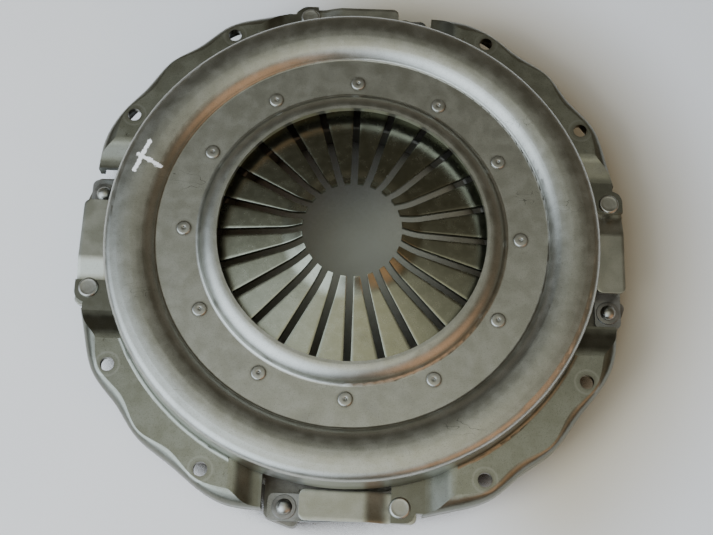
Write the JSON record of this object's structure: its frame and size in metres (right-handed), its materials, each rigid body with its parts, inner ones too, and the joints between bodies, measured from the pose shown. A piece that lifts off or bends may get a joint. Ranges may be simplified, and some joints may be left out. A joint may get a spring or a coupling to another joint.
{
  "type": "clutch pressure plate",
  "caption": "Push-type diaphragm clutch cover assembly: domed pressed-steel cover, slotted diaphragm spring on riveted fulcrum rings, and a cast-iron pressure plate on tangential drive straps.",
  "frame": {"origin": "clutch axis in the plane of the flange's face that seats on the flywheel", "axes": "+Z along the clutch axis from the flywheel to the gearbox; +X through the middle of a strap window; that window's straps lie along Y, on the cover at +Y and on the pressure plate at -Y"},
  "size_m": [0.448, 0.448, 0.0865],
  "materials": {
    "cover_steel": "satin, bare and lightly oiled pressing",
    "spring_steel": "dark tempered, oiled",
    "ring_steel": "dark drawn wire and stampings",
    "rivet_steel": "satin, upset heads",
    "guard_steel": "satin, oiled",
    "leaf_steel": "blued spring strip",
    "plate_iron": "as cast, turned on the friction face"
  },
  "bodies": {
    "cover": {"cover": "cover_steel", "diaphragm_spring": "spring_steel", "upper_fulcrum_ring": "ring_steel", "lower_fulcrum_ring": "ring_steel", "fulcrum_rivets": "rivet_steel", "cover_strap_rivets": "rivet_steel", "strap_guard_1": "guard_steel", "strap_guard_2": "guard_steel", "strap_guard_3": "guard_steel", "strap_guard_4": "guard_steel", "strap_1_top_leaf": "leaf_steel", "strap_1_middle_leaf": "leaf_steel", "strap_1_bottom_leaf": "leaf_steel", "strap_2_top_leaf": "leaf_steel", "strap_2_middle_leaf": "leaf_steel", "strap_2_bottom_leaf": "leaf_steel", "strap_3_top_leaf": "leaf_steel", "strap_3_middle_leaf": "leaf_steel", "strap_3_bottom_leaf": "leaf_steel", "strap_4_top_leaf": "leaf_steel", "strap_4_middle_leaf": "leaf_steel", "strap_4_bottom_leaf": "leaf_steel"},
    "pressure_plate": {"pressure_plate": "plate_iron", "plate_strap_rivets": "rivet_steel", "strap_collars": "ring_steel"}
  },
  "joints": [
    {"name": "pressure_plate_lift", "type": "slide", "parent": "cover", "child": "pressure_plate", "axis": [0, 0, 1], "range_m": [0, 0.0055], "stiffness_N_per_m": 100000, "springref_m": -0.004, "deforming": ["diaphragm_spring", "strap_1_top_leaf", "strap_1_middle_leaf", "strap_1_bottom_leaf", "strap_2_top_leaf", "strap_2_middle_leaf", "strap_2_bottom_leaf", "strap_3_top_leaf", "strap_3_middle_leaf", "strap_3_bottom_leaf", "strap_4_top_leaf", "strap_4_middle_leaf", "strap_4_bottom_leaf"]}
  ]
}
